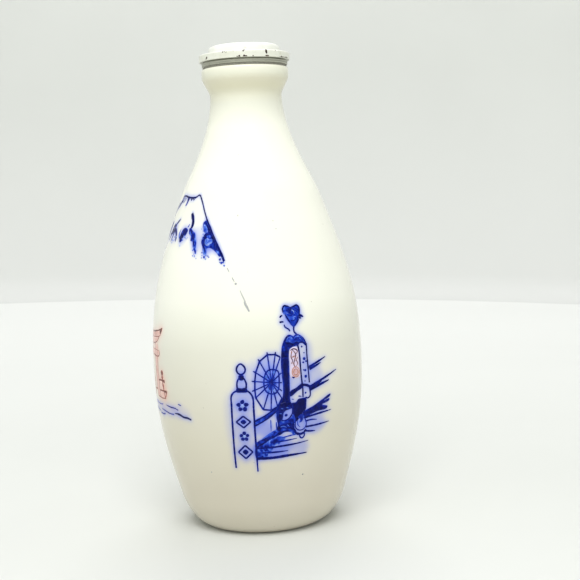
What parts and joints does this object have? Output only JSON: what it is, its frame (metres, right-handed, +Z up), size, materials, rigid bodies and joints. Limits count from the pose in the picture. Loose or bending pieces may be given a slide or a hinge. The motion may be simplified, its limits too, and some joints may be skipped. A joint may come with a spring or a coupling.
{
  "type": "sake bottle",
  "caption": "Hollow porcelain sake bottle with a tear-drop belly, slim flared neck and painted landscape, closed by a ribbed push-in stopper under a white metal cap.",
  "frame": {"origin": "middle of the foot ring's resting plane", "axes": "+Z up along the bottle's axis, through the stopper; the painted lady faces -Y"},
  "size_m": [0.0642, 0.0642, 0.1446],
  "materials": {
    "porcelain": "clear glossy glaze over ivory-white porcelain, cobalt and iron-red overglaze painting",
    "washer_rubber": "matte black",
    "bare_tinplate": "dulled bare tinplate",
    "plug_plastic": "milky moulded polyethylene",
    "cap_enamel": "off-white stove enamel, chipped at the edges"
  },
  "bodies": {
    "bottle": {"bottle_body": "porcelain"},
    "seal": {"seal_washer": "washer_rubber"},
    "stopper": {"stopper_plug": "plug_plastic", "clamp_ring": "bare_tinplate", "cap_shell": "cap_enamel"}
  },
  "joints": [
    {"name": "stopper_lift", "type": "slide", "parent": "bottle", "child": "seal", "axis": [0, 0, 1], "range_m": [0, 0.045]},
    {"name": "stopper_twist", "type": "hinge", "parent": "seal", "child": "stopper", "pos_m": [0, 0, 0.1385], "axis": [0, 0, 1], "continuous": true}
  ]
}
